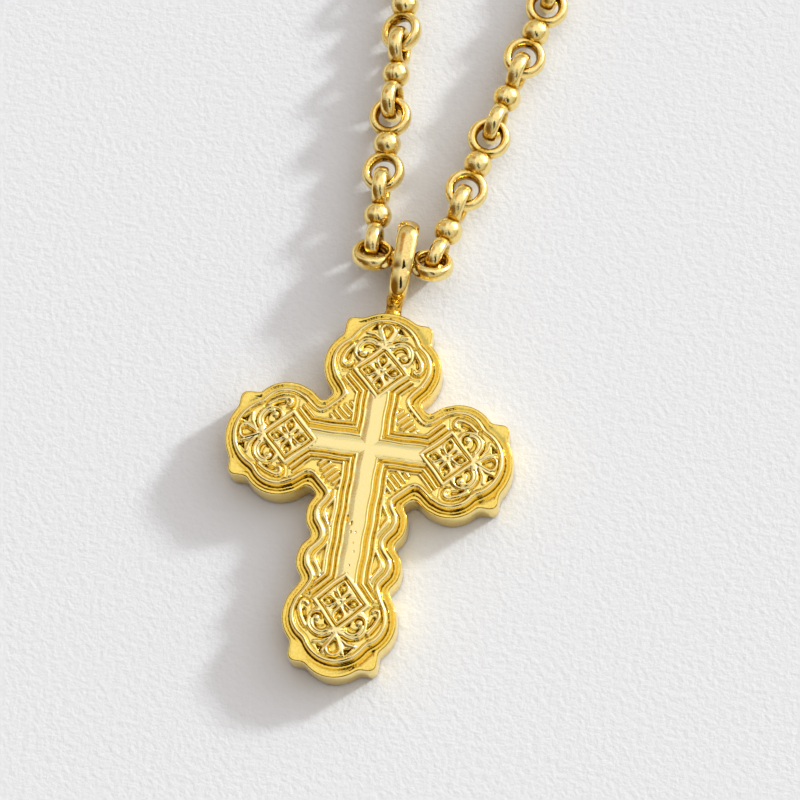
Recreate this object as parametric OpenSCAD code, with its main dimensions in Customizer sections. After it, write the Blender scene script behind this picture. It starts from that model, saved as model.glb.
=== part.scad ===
// Cast gold cross with trefoil arms, lying flat on its back, with its bail threaded on an eye-and-ball chain.
// The plan is worked out from the crossing of the bars, with +Y toward the bail and the back on Z = 0.

/* [Cross] */
// Thickness of the base plate
base_t = 3.4; // [3:0.1:3.8]
// Full height of the cross at its rim
cross_h = 4.2; // [4:0.1:4.6]
// Depth of the sunk field between the ornament
relief_h = 0.35; // [0.2:0.05:0.5]
// Width of the ledge round the raised plate
ledge_w = 0.9; // [0.7:0.05:1]
// Width of the raised plate's rim
rim_w = 0.5; // [0.4:0.05:0.6]
// Distance from the crossing to the end of the raised plate, on the top arm and the side arms
arm_reach = 14.1; // [13.9:0.1:14.3]
// Distance from the crossing to the end of the raised plate, on the lower arm
foot_reach = 22.9; // [22.7:0.1:23.1]
// Distance from the crossing to the end of the base plate, on the lower arm
foot_lip_reach = 24.3; // [24.1:0.1:24.4]
// Half the width of the smooth bars
bar_half = 0.85; // [0.7:0.05:0.95]

/* [Bail] */
// Length of the bail's loop
bail_l = 9; // [8.5:0.1:10]
// Height of the bail's loop
bail_h = 5.8; // [5.8:0.1:6]
// Width of the bail's bar
bail_w = 1.95; // [1.7:0.05:2.2]
// Thickness of the bail's bar
bail_t = 1.1; // [0.9:0.05:1.15]

/* [Chain] */
// Outer diameter of an eye
eye_d = 4.6; // [4.6:0.05:4.7]
// Thickness of the eye's metal, seen along its axis
eye_t = 1.05; // [0.9:0.05:1.05]
// Width of the eye's metal, along its axis
eye_w = 1.55; // [1.4:0.05:1.55]
// Diameter of the ball between two eyes
ball_d = 2.9; // [2.7:0.1:3]
// Distance from the ball's centre to the centre of an eye
eye_out = 3.15; // [3.1:0.05:3.3]
// Distance along the chain from one ball to the next
pitch = 8.1; // [7.9:0.05:8.2]
// Number of links on each side, without the centre link
link_count = 27; // [21:2:31]
// Distance from the clasp's middle to the centre of its eye
clasp_out = 6; // [5:0.5:8]

/* [Hidden] */
$fn = 48;
gold = "#d9a82e";

// Arms, as circles in a frame whose Y runs out along the arm. The three upper arms are alike.
end_r = 3.9;
side_r = 2.9;
side_at = [2.35, 9];
neck = [3.35, 5.45];
foot_end_r = 3.6;
foot_side_at = [2.1, 18.1];
foot_neck = [3.5, 14.4];
// The foot's waved sides
wave_neck = [3.4, 5.3];
wave_at = [[2.9, 7.45], [3.05, 12.25]];
wave_r = [1.45, 1.5];
wave_dip = [3.25, 9.85];
neck_growth = 1.25;
ear_at = [3.75, 13.25];
ear_r = 0.85;
foot_lip_r = 3.85;
foot_ear_shift = 9;

// Ornament in the arm's frame
diamond_at = 8.17;
diamond = [2.5, 2.38];
groove_w = 0.26;
rib_w = 0.34;
rib_at = [1.14, 1.68];
bend_at = 5.65;
foot_shift = 8.2;

// Bail: the loop stands across the cross and rests on the surface with it
bail_end = 16.3;
bail_z = 3.05;
stem_d = 1.8;
stem_z = 2.3;

// Chain, laid in a drop-shaped loop whose axis leans to the right of the cross's axis
eye_mid = (eye_d - eye_t) / 2;
chain_z = 2.35;
centre_at = [0.1, 21, 3.25];
centre_tilt = 30;
centre_turn = -3;
loop_at = [0.12, 22.4];
loop_lean = 5.45;
start_x = 3.4;
start_turn = 8;
straight_l = 34;
wide_turn = 55;
twist_left = -25;
twist_right = 7;
strand_l = link_count * pitch + clasp_out;
// The loop's radius follows from the strand's length: straight, curving out, then round the big circle
straight_x = start_x + straight_l * sin(start_turn);
cos_span = cos(start_turn) - cos(wide_turn);
out_angle = (wide_turn - start_turn) * PI / 180;
round_angle = (90 + wide_turn) * PI / 180;
loop_r = (strand_l - straight_l + out_angle * straight_x / cos_span)
    / (out_angle * cos(wide_turn) / cos_span + round_angle);
out_r = (loop_r * cos(wide_turn) - straight_x) / cos_span;
out_l = out_r * out_angle;
out_y = straight_l * cos(start_turn) + out_r * (sin(wide_turn) - sin(start_turn));
clasp_sag = clasp_out * clasp_out / (4 * loop_r);
clasp_y = out_y + loop_r * (1 + sin(wide_turn)) - clasp_sag;

// Heading of the strand at a distance from its first eye, in degrees from the loop's axis
function turn_at(s) =
    s < straight_l ? start_turn
    : s < straight_l + out_l ? start_turn + (s - straight_l) / out_r * 180 / PI
    : wide_turn - (s - straight_l - out_l) / loop_r * 180 / PI;

// Place of the strand at a distance from its first eye, for the strand on the right
function spot_at(s) = let (a = turn_at(s))
    s < straight_l ? [start_x + s * sin(a), s * cos(a)]
    : s < straight_l + out_l ? [
        straight_x + out_r * (cos(start_turn) - cos(a)),
        straight_l * cos(start_turn) + out_r * (sin(a) - sin(start_turn))]
    : [loop_r * cos(a), out_y + loop_r * (sin(wide_turn) - sin(a))];

function turned(p, a) = [p.x * cos(a) - p.y * sin(a), p.x * sin(a) + p.y * cos(a)];
function in_plan(p) = loop_at + turned(p, -loop_lean);
// Centre of an eye of link k, the nearer one with end 0 and the farther one with end 1
function eye_at(k, end, side) = let (p = spot_at(k * pitch + 2 * end * eye_out)) in_plan([side * p.x, p.y]);
function ball_at(k, side) = (eye_at(k, 0, side) + eye_at(k, 1, side)) / 2;
function ball_turn(k, side) = let (d = eye_at(k, 1, side) - eye_at(k, 0, side)) atan2(d.y, d.x);
function is_upright(k) = k % 2 == 0;
// Turn of link k about its own length: the strands lie slightly twisted near the cross
function link_twist(k, side) = (side < 0 ? twist_left : twist_right) * min(1, k / 4, max(0, 10 - k) / 5);

// Half the width of a link across the direction u, seen from above
function link_reach(k, side, u) = let (a = ball_turn(k, side), d = abs([cos(a), sin(a)] * u))
    d * eye_out + (is_upright(k) ? d * eye_d / 2 + sqrt(max(0, 1 - d * d)) * eye_w / 2 : eye_d / 2);

side_list = [-1, 1];
link_list = [0 : link_count - 1];
x_low = min([for (k = link_list) ball_at(k, -1).x - link_reach(k, -1, [1, 0])]);
x_high = max([for (k = link_list) ball_at(k, 1).x + link_reach(k, 1, [1, 0])]);
y_high = max(concat(
    [for (side = side_list, k = link_list) ball_at(k, side).y + link_reach(k, side, [0, 1])],
    [in_plan([clasp_out, clasp_y]).y + eye_d / 2, in_plan([-clasp_out, clasp_y]).y + eye_d / 2]));
y_low = -foot_lip_reach;
middle = [(x_low + x_high) / 2, (y_low + y_high) / 2, 0];

// Point where a line from p meets a circle, taken just inside the circle so that the two overlap
function touch(p, c, r, side) = let (
        a = acos(r / norm(p - c)),
        b = atan2(p.y - c.y, p.x - c.x))
    c + 0.99 * r * [cos(b + side * a), sin(b + side * a)];

function unit(v) = v / norm(v);
function left(v) = [-v.y, v.x];

// Corner of a band of width w along the points
function mitre(pts, i, w) = let (
        a = unit(i > 0 ? pts[i] - pts[i - 1] : pts[1] - pts[0]),
        b = i < len(pts) - 1 ? unit(pts[i + 1] - pts[i]) : a,
        n = unit(left(a) + left(b)))
    pts[i] + n * w / (2 * (n * left(a)));

module band(pts, w) {
    last = len(pts) - 1;
    polygon(concat([for (i = [0 : last]) mitre(pts, i, w)], [for (i = [last : -1 : 0]) mitre(pts, i, -w)]));
}

function arc(c, r, from, to, steps) = [for (i = [0 : steps]) let (a = from + (to - from) * i / steps)
    c + r * [cos(a), sin(a)]];

module both_sides() {
    children();
    mirror([1, 0]) children();
}

// One trefoil arm grown by g past the raised plate
module arm(neck_p, side_p, end_radius, reach, g) {
    p = neck_p + [neck_growth * g, 0];
    t = touch(p, side_p, side_r + g, 1);
    both_sides() {
        polygon([[-0.5, p.y - 1], [p.x - 0.5, p.y - 1], p, t, side_p, [-0.5, side_p.y]]);
        translate(side_p) circle(side_r + g);
    }
    translate([0, reach - end_radius]) circle(end_radius + g);
}

// Waved stretch of the lower arm, drawn with Y running down it
module waved_arm(g) {
    top = wave_neck + [neck_growth * g, 0];
    dip = wave_dip + [g, 0];
    low = foot_neck + [g, 0];
    c = wave_at;
    r = [wave_r[0] + g, wave_r[1] + g];
    both_sides() {
        polygon([
            [-0.5, 2], [2, 2], top, touch(top, c[0], r[0], 1), c[0], touch(dip, c[0], r[0], -1), dip,
            touch(dip, c[1], r[1], 1), c[1], touch(low, c[1], r[1], -1), low, [2, low.y + 2], [-0.5, low.y + 2]]);
        translate(c[0]) circle(r[0]);
        translate(c[1]) circle(r[1]);
    }
}

// The whole plan grown by g past the raised plate's edge
module plan(g) {
    n = neck + [neck_growth * g, 0];
    w = wave_neck + [neck_growth * g, 0];
    for (a = [-90, 0, 90]) rotate(a) arm(neck, side_at, end_r, arm_reach, g);
    mirror([0, 1]) {
        waved_arm(g);
        arm(foot_neck - [neck_growth * g - g, 0], foot_side_at, foot_end_r, foot_reach, g);
    }
    both_sides() polygon([[-0.5, n.y], n, [n.y, n.x], [n.y, -n.x], [w.x, -w.y], [-0.5, -w.y]]);
}

module ear() {
    tip = ear_at;
    side = tip.x + ear_r;
    polygon([[2, 11], [side, 11.9], [side, tip.y], [tip.x, tip.y + ear_r], [1.6, 14.1]]);
    translate(tip) circle(ear_r);
}

module ears() {
    for (a = [-90, 0, 90]) rotate(a) both_sides() ear();
    translate([0, -foot_ear_shift]) mirror([0, 1]) both_sides() ear();
}

// Pit with a point at each end
module kite(at, a, l, w) {
    translate(at) rotate(a) polygon([[-l / 2, 0], [0, -w / 2], [l / 2, 0], [0, w / 2]]);
}

module diamond_plate() {
    c = [0, diamond_at];
    dx = diamond.x - groove_w;
    dy = diamond.y - groove_w;
    difference() {
        polygon([c + [0, dy], c + [dx, 0], c - [0, dy], c - [dx, 0]]);
        for (a = [0 : 90 : 270]) kite(c + 1.2 * [cos(a), sin(a)], a, 1.15, 0.8);
        for (a = [45 : 90 : 315]) kite(c + 0.85 * [cos(a), sin(a)], a, 0.75, 0.24);
    }
}

// Scrolls, curls and palmette beyond the diamond
module arm_ornament() {
    both_sides() {
        band(arc([1.75, 10.0], 1.1, 160, -60, 9), 0.42);
        translate([1.72, 9.62]) circle(0.42);
        band(arc([3.55, 9.5], 1.15, -20, -150, 6), 0.34);
        translate([3.75, 9.35]) circle(0.36);
        band([[0.3, 11.2], [1.2, 11.75], [2.4, 11.85]], 0.34);
        kite([1.2, 12.5], 35, 1.1, 0.36);
    }
    difference() {
        kite([0, 12.4], 90, 2.65, 1.5);
        kite([0, 12.4], 90, 1.6, 0.75);
    }
}

// Ribs of one quarter: out along both arms and back along the diamonds
module quarter_ribs(drop) {
    for (r = rib_at) {
        side = [bend_at, r];
        up = [r, bend_at + drop];
        out = 1.55;
        band([up + [out, out * 0.95], up, [r, r], side, side + [out * 0.95, out]], rib_w);
    }
}

module hatching() {
    for (i = [-2 : 2]) {
        mid = [3.1, 3.1] + 0.55 * i * [1, -1] * 0.75;
        l = 1.25 - 0.22 * abs(i);
        band([mid - l * [0.4, 0.4], mid + l * [0.4, 0.4]], 0.22);
    }
}

module leaf_lines() {
    for (y = [7.2, 12.1]) band(arc([1.25, y], 2.1, -38, 38, 6), 0.24);
}

module ornament() {
    for (a = [-90, 0, 90]) rotate(a) {
        diamond_plate();
        arm_ornament();
    }
    mirror([0, 1]) translate([0, foot_shift]) {
        diamond_plate();
        arm_ornament();
    }
    both_sides() {
        quarter_ribs(0);
        hatching();
        mirror([0, 1]) {
            quarter_ribs(foot_shift);
            hatching();
            leaf_lines();
        }
        translate([-0.2, -bar_half]) square([bend_at - 0.1, 2 * bar_half]);
    }
    translate([-bar_half, -bend_at - foot_shift + 0.3]) square([2 * bar_half, 2 * bend_at + foot_shift - 0.6]);
}

// Flattened wire, seen in section: thickness t across, width w up
module wire(t, w) {
    intersection() {
        circle(d = w);
        square([t, w + 1], center = true);
    }
}

module bail() {
    mid = (bail_h - bail_t) / 2;
    run = bail_l - bail_h;
    translate([0, bail_end + bail_h / 2, bail_z]) rotate([0, 90, 0]) {
        rotate([0, 0, 180]) rotate_extrude(angle = 180) translate([mid, 0]) wire(bail_t, bail_w);
        translate([0, run, 0]) rotate_extrude(angle = 180) translate([mid, 0]) wire(bail_t, bail_w);
        for (s = side_list) translate([s * mid, run, 0]) rotate([90, 0, 0]) {
            linear_extrude(run) wire(bail_t, bail_w);
        }
    }
    translate([0, arm_reach - 0.2, stem_z]) rotate([-90, 0, 0]) {
        cylinder(d = stem_d, h = bail_end + bail_t / 2 - arm_reach + 0.4);
    }
}

module cross() {
    color(gold) translate(-middle) {
        difference() {
            union() {
                linear_extrude(base_t) {
                    plan(ledge_w);
                    ears();
                    translate([0, foot_lip_r - foot_lip_reach]) circle(foot_lip_r);
                }
                translate([0, 0, base_t / 2]) linear_extrude(cross_h - base_t / 2) plan(0);
            }
            translate([0, 0, cross_h - relief_h]) linear_extrude(relief_h + 1) difference() {
                plan(-rim_w);
                ornament();
            }
        }
        bail();
    }
}

module eye() {
    rotate(90) rotate_extrude() translate([eye_mid, 0]) wire(eye_t, eye_w);
}

module link() {
    for (s = side_list) translate([s * eye_out, 0, 0]) eye();
    rotate(90) sphere(d = ball_d);
}

module centre_link() {
    color(gold) translate(centre_at - middle) rotate([-centre_tilt, 0, centre_turn]) link();
}

module strand(side) {
    color(gold) for (k = link_list) {
        p = ball_at(k, side);
        translate([p.x, p.y, chain_z] - middle) rotate(ball_turn(k, side)) {
            rotate([(is_upright(k) ? 90 : 0) + link_twist(k, side), 0, 0]) link();
        }
    }
}

module clasp() {
    body_r = 1.75;
    body_l = 2 * (clasp_out - eye_d / 2) + 1;
    bow_r = 9;
    p = in_plan([0, clasp_y]);
    color(gold) translate([p.x, p.y, chain_z] - middle) rotate(-loop_lean) {
        for (s = side_list) translate([s * clasp_out, 0, 0]) eye();
        rotate([0, 90, 0]) rotate_extrude() intersection() {
            translate([body_r - bow_r, 0]) circle(bow_r);
            translate([0, -body_l / 2]) square([body_r + 1, body_l]);
        }
    }
}

cross();
centre_link();
strand(-1);  // chain_left
strand(1);  // chain_right
clasp();
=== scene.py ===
import math

import bpy
import numpy as np
from mathutils import Matrix, Vector
from mathutils.geometry import delaunay_2d_cdt
from mathutils.kdtree import KDTree


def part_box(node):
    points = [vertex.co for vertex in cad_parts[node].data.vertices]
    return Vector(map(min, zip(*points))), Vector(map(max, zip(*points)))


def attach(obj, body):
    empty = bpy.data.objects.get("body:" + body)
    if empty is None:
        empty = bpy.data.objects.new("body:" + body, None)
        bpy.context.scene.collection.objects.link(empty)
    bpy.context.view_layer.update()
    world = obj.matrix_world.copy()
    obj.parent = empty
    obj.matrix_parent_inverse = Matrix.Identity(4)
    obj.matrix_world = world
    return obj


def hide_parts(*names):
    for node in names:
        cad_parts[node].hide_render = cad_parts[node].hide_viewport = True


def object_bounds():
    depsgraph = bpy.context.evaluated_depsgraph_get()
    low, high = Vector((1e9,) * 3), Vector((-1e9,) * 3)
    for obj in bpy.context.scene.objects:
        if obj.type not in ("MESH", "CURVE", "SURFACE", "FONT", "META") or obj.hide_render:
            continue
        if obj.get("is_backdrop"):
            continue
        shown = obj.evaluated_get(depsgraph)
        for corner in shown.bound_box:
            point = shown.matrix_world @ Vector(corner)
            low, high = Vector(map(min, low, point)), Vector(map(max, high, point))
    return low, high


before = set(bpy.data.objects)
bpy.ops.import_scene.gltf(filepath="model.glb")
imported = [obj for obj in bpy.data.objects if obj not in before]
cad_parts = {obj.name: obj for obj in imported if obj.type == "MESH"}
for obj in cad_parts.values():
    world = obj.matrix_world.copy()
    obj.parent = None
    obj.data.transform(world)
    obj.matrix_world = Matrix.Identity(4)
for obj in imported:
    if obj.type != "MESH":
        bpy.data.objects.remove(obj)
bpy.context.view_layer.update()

MM = 0.001


# Cross: one casting in yellow gold. A base plate with ears at its lobes carries a raised plate with a rounded
# rim, and a hollow ledge runs round between them. The relief inside the rim is cast and touched up by hand,
# so its lines are soft and not quite even. All of its sizes are in millimetres from the crossing of the bars.
cross_low, cross_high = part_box("cross")
foot_edge = 24.3
crossing = Vector(((cross_low.x + cross_high.x) / 2, cross_low.y + foot_edge * MM, 0))
plate_top = 4.2
base_top = 3.4
ledge_w = 0.9
# Outline of an arm: its round end (place along the arm, radius), the bulge at each side of it (place across,
# place along, radius) and the narrow place where the lobe begins
end_circle = (10.2, 3.9)
side_circle = (2.35, 9.0, 2.9)
arm_neck = (3.35, 5.45)
# The same for the foot, with the two waves of its stem and the dip between them
foot_end_circle = (19.3, 3.6)
foot_side_circle = (2.1, 18.1, 2.9)
foot_neck = (3.5, 14.4)
wave_neck = (3.4, 5.3)
wave_circles = ((2.9, 7.45, 1.45), (3.05, 12.25, 1.5))
wave_dip = (3.15, 9.85)
# Ears at both sides of each lobe's end, and the fuller lip at the foot's end
ear_tip = (3.75, 13.25)
ear_r = 0.85
foot_ear_shift = 9.0
foot_lip_circle = (20.45, 3.85)
# How softly neighbouring forms of the outline run into each other
arm_blend, wave_blend, foot_blend, stem_blend, round_blend = 0.7, 0.7, 0.4, 0.5, 0.3
span_across, span_along = (-16, 16), (-25, 16)


def tangent_point(point, centre, r, side):
    """Where a line from the point touches the circle, on its left (1) or right (-1)."""
    dx, dy = point[0] - centre[0], point[1] - centre[1]
    spread = side * math.acos(r / math.hypot(dx, dy))
    turn = math.atan2(dy, dx) + spread
    return centre[0] + r * math.cos(turn), centre[1] + r * math.sin(turn)


def mirrored(right_side):
    """A closed outline from its right half, listed from the bottom up."""
    return np.array(list(right_side) + [(-x, y) for x, y in reversed(right_side)])


far_away = 1e9


def polygon_distance(p, corners):
    """Distance to a closed outline, negative inside."""
    nearest = np.full(len(p), far_away)
    inside = np.zeros(len(p), bool)
    for a, b in zip(corners, np.roll(corners, -1, 0)):
        edge, rel = b - a, p - a
        t = np.clip(rel @ edge / (edge @ edge), 0, 1)
        away = rel - t[:, None] * edge
        nearest = np.minimum(nearest, (away * away).sum(1))
        above, below = p[:, 1] >= a[1], p[:, 1] < b[1]
        left = edge[0] * rel[:, 1] > edge[1] * rel[:, 0]
        inside ^= (above & below & left) | ~(above | below | left)
    return np.where(inside, -1, 1) * np.sqrt(nearest)


def line_distance(p, points):
    """Distance to a chain of straight lines."""
    points = np.asarray(points, float)
    nearest = np.full(len(p), far_away)
    for a, b in zip(points, points[1:]):
        edge, rel = b - a, p - a
        t = np.clip(rel @ edge / (edge @ edge), 0, 1)
        away = rel - t[:, None] * edge
        nearest = np.minimum(nearest, (away * away).sum(1))
    return np.sqrt(nearest)


def circle_distance(p, x, y, r):
    """Distance to a circle, negative inside."""
    return np.hypot(p[:, 0] - x, p[:, 1] - y) - r


def blended(a, b, width):
    """The union of two distances with the corner between them filled over a width."""
    t = np.clip(0.5 + 0.5 * (b - a) / width, 0, 1)
    return b * (1 - t) + a * t - width * t * (1 - t)


# Each arm's own frame has its second axis pointing out along the arm
arm_frames = {
    "top": np.array([[1.0, 0.0], [0.0, 1.0]]),
    "right": np.array([[0.0, -1.0], [1.0, 0.0]]),
    "left": np.array([[0.0, 1.0], [-1.0, 0.0]]),
    "foot": np.array([[1.0, 0.0], [0.0, -1.0]]),
}


def arm_outline(neck, side, end_at):
    """Straight-sided core of a lobe, from its neck out to its bulges and its end."""
    touch = tangent_point(neck, side[:2], side[2], 1)
    return mirrored([(neck[0] - 0.5, neck[1] - 1), neck, touch, side[:2], (0.01, end_at)])


upper_arm = arm_outline(arm_neck, side_circle, end_circle[0])
lower_arm = arm_outline(foot_neck, foot_side_circle, foot_end_circle[0])
wave_a, wave_b = wave_circles
dip_a = tangent_point(wave_dip, wave_a[:2], wave_a[2], -1)
dip_b = tangent_point(wave_dip, wave_b[:2], wave_b[2], 1)
past_a = tuple(1.5 * d - 0.5 * t for d, t in zip(wave_dip, dip_a))
past_b = tuple(1.5 * d - 0.5 * t for d, t in zip(wave_dip, dip_b))
touch_a = tangent_point(wave_neck, wave_a[:2], wave_a[2], 1)
touch_b = tangent_point(foot_neck, wave_b[:2], wave_b[2], -1)
waved_stem = (
    mirrored([(2, 2), wave_neck, touch_a, wave_a[:2], dip_a, past_a]),
    mirrored([past_b, dip_b, wave_b[:2], touch_b, foot_neck, (2, 16)]))
hub = mirrored([(wave_neck[0], -wave_neck[1]), (arm_neck[1], -arm_neck[0]), arm_neck[::-1], arm_neck])
ear_outline = np.array([(2, 11), (4.6, 11.9), (4.6, 13.25), (3.75, 14.1), (1.6, 14.1)])


def plate_distance(p):
    """Distance from the raised plate's edge, negative inside."""
    near = polygon_distance(p, hub)
    for name, axes in arm_frames.items():
        q = p @ axes.T
        if name == "foot":
            waves = blended(*(polygon_distance(q, part) for part in waved_stem), wave_blend)
            near = blended(near, waves, stem_blend)
            near = blended(near, polygon_distance(q, lower_arm), foot_blend)
            rounds = [(s * x, y, r) for s in (1, -1) for x, y, r in wave_circles]
            side, end = foot_side_circle, foot_end_circle
        else:
            near = blended(near, polygon_distance(q, upper_arm), arm_blend)
            rounds, side, end = [], side_circle, end_circle
        rounds += [side, (-side[0], *side[1:]), (0, *end)]
        for x, y, r in rounds:
            near = blended(near, circle_distance(q, x, y, r), round_blend)
    return near


def base_distance(p):
    """Distance from the base plate's edge, ears included."""
    near = plate_distance(p) - ledge_w
    for name, axes in arm_frames.items():
        q = p @ axes.T
        if name == "foot":
            near = blended(near, circle_distance(q, 0, *foot_lip_circle), round_blend)
            q = q - [0, foot_ear_shift]
        for s in (1, -1):
            half = q * [s, 1]
            ear = np.minimum(polygon_distance(half, ear_outline), circle_distance(half, *ear_tip, ear_r))
            near = blended(near, ear, round_blend)
    return near


def on_level(p, distance, level, steps=6):
    """Moves points along the slope of a distance until they lie on a level of it."""
    h, longest_move, least_slope = 0.01, 0.25, 0.3
    for _ in range(steps):
        d = distance(p)
        gx = (distance(p + [h, 0]) - distance(p - [h, 0])) / (2 * h)
        gy = (distance(p + [0, h]) - distance(p - [0, h])) / (2 * h)
        slope = np.stack([gx, gy], 1)
        move = np.clip(d - level, -longest_move, longest_move) / np.maximum((slope ** 2).sum(1), least_slope)
        p = p - move[:, None] * slope
    return p


def evenly_spaced(loop, spacing):
    """A closed loop with its points set out anew at even steps."""
    ends = np.vstack([loop, loop[:1]])
    along = np.concatenate([[0], np.cumsum(np.hypot(*np.diff(ends, axis=0).T))])
    count = int(along[-1] / spacing)
    marks = np.linspace(0, along[-1], count, endpoint=False)
    return np.stack([np.interp(marks, along, ends[:, k]) for k in (0, 1)], 1)


def rough_loop(distance, level):
    """A first loop round the cross, traced through the squares of a coarse grid."""
    step = 0.12
    xs, ys = np.arange(*span_across, step), np.arange(*span_along, step)
    gx, gy = np.meshgrid(xs, ys)
    value = (distance(np.stack([gx.ravel(), gy.ravel()], 1)) - level).reshape(gx.shape)
    crossings, links = {}, {}
    for di, dj in ((0, 1), (1, 0)):
        a, b = value[:value.shape[0] - di, :value.shape[1] - dj], value[di:, dj:]
        for i, j in zip(*np.nonzero((a < 0) != (b < 0))):
            t = a[i, j] / (a[i, j] - b[i, j])
            crossings[i, j, di] = (xs[j] + t * dj * step, ys[i] + t * di * step)
    for i, j, di in crossings:
        for ci, cj in (((i, j), (i - 1, j)) if di == 0 else ((i, j), (i, j - 1))):
            links.setdefault((ci, cj), []).append((i, j, di))
    next_to = {}
    for sides in links.values():
        if len(sides) == 2:
            for k in (0, 1):
                next_to.setdefault(sides[k], []).append(sides[1 - k])
    start = min(crossings, key=lambda e: crossings[e][1])
    walk, last = [start], None
    for _ in crossings:
        ways = [e for e in next_to[walk[-1]] if e != last]
        last = walk[-1]
        if ways[0] == start:
            break
        walk.append(ways[0])
    loop = np.array([crossings[e] for e in walk])
    x, y = loop.T
    turned = (x * np.roll(y, -1) - np.roll(x, -1) * y).sum() < 0
    return loop[::-1] if turned else loop


plate_spacing, base_spacing = 0.16, 0.19
plate_loop = evenly_spaced(rough_loop(plate_distance, 0), plate_spacing)
plate_loop = on_level(plate_loop, plate_distance, 0)
plate_loop = on_level(evenly_spaced(plate_loop, plate_spacing), plate_distance, 0, 3)
# The base's loop is traced a little inside its edge, clear of the tight corners by the ears, then moved out
base_loop = evenly_spaced(rough_loop(base_distance, -0.1), base_spacing)
base_loop = on_level(base_loop, base_distance, -0.05)
base_loop = on_level(evenly_spaced(base_loop, base_spacing), base_distance, 0, 3)

# Relief, as heights from the plate's top. The profile runs from the middle of a bar to its border: the bar's
# gentle crown and its edge, then three round ribs with a deep line between each two. The lines lie at other
# places in each arm, so a table gives the bar's edge, the two deep lines and the border on each side of it.
bar_profile_at = (
    0, 0.3, 0.6, 0.8, 0.88, 0.93, 0.99, 1.06, 1.13, 1.22, 1.31, 1.4, 1.49, 1.56, 1.63, 1.72, 1.78, 1.87, 1.97,
    2.07, 2.15, 2.22, 2.3, 2.38, 2.5)
bar_profile = (
    0, -0.012, -0.065, -0.115, -0.145, -0.2, -0.08, -0.02, -0.04, -0.2, -0.33, -0.34, -0.22, -0.05, -0.01,
    -0.03, -0.12, -0.33, -0.36, -0.2, -0.04, -0.01, -0.05, -0.14, -0.16)
beyond = 20
known_lines = (0, 0.92, 1.36, 1.95, 2.24, beyond)
line_places = {
    ("top", 1): (0.95, 1.45, 2.1, 2.4),
    ("top", -1): (0.85, 1.18, 1.82, 2.15),
    ("foot", 1): (0.95, 1.4, 2.2, 2.45),
    ("foot", -1): (0.9, 1.22, 1.82, 2.2),
    ("right", -1): (0.8, 1.3, 1.85, 2.12),
    ("right", 1): (0.85, 1.24, 1.85, 2.12),
    ("left", 1): (0.95, 1.62, 2.25, 2.5),
    ("left", -1): (0.78, 1.07, 1.7, 1.95),
}
# Beside a diamond the lines bend outward along its edge
bend_at = (1.75, 2.2, 2.35, 2.5, 2.66, 2.82, 2.98, 3.14, 3.3, 3.45)
bend_lines = (1.05, 1.17, 1.36, 1.52, 1.66, 1.8, 1.95, 2.14, 2.24, 2.4)
bend_from = 8.17
diamond_at = 8.25
diamond_half = 1.66
diamond_floor = -0.07
ground = -0.22
border_line = 2.3
# Fields: where the lobes' ornament begins along an arm, how far it goes on beside the diamond, the waved
# stretch of the foot, and the foot's lobe, which is a little longer than the others
lobe_from, past_diamond, tip_from = 5.3, 2.2, 11.0
wave_span = (-14.2, -4.9)
foot_lobe_at, usual_lobe_at, foot_stretch = 14.25, 6.1, 1.07
waver = 0.035
first_seed = 7
# Pits that the casting left in the bars: from, to, radius. The smallest ones are round.
casting_pits = [
    ((-0.82, -7.55), (-0.78, -8.05), 0.16), ((-0.32, -8.1), (-0.3, -8.35), 0.09),
    ((-5.95, 0.0), (-5.93, 0.1), 0.12), ((-0.2, -9.1), (-0.2, -9.2), 0.07)]
small_pits = ((0.32, 9.1), (0.22, 10.2), (0.4, 11.1), (0.25, 12.6))
casting_pits += [((x, -y), (x, -y - 0.05), 0.05) for x, y in small_pits]


def grooved(h, d, half, deep):
    """Heights with a rounded groove cut along a line, given the distance from it."""
    t = np.clip(np.abs(d) / half, 0, 1)
    return np.minimum(h, h * t * t - deep * (1 - t * t) ** 1.3)


rib_rise = 0.3


def ribbed(h, d, half, top=0.0):
    """Heights with a round rib laid along a line."""
    t = np.abs(d) / half
    return np.where(t < 1, np.maximum(h, top - rib_rise + rib_rise * np.sqrt(np.maximum(1 - t * t, 0))), h)


def sunk(h, inside, run, deep):
    """Heights with a hollow whose walls run down from its edge, from the distance inside it."""
    t = np.clip(inside / run, 0, 1)
    return np.where(inside > 0, np.minimum(h, h * (1 - t) - deep * t * (2 - t)), h)


def arc_points(x, y, r, start, stop, count=14):
    """Points along an arc, from one angle to another in degrees."""
    turn = np.radians(np.linspace(start, stop, count))
    return np.stack([x + r * np.cos(turn), y + r * np.sin(turn)], 1)


def bar_coordinate(v, u, name):
    """Place across an arm, with its own lines moved to the common places, bent outward beside the diamond."""
    out = np.empty(len(v))
    for side in (1, -1):
        here = v * side >= 0
        out[here] = np.interp(np.abs(v[here]), (0, *line_places[name, side], beyond - 0.1), known_lines)
    from_diamond = (np.abs(v) + bend_from - u) / math.sqrt(2)
    bent = np.interp(from_diamond, bend_at, bend_lines) + np.maximum(from_diamond - bend_at[-1], 0)
    return np.minimum(out, bent)


def drop_inside(v, u, low, middle, r):
    """Distance inside a drop that is pointed below and round above."""
    side = r - np.maximum(middle - u, 0) * r / (middle - low)
    return np.where(u > middle, r - np.hypot(v, u - middle), side - np.abs(v))


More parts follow.
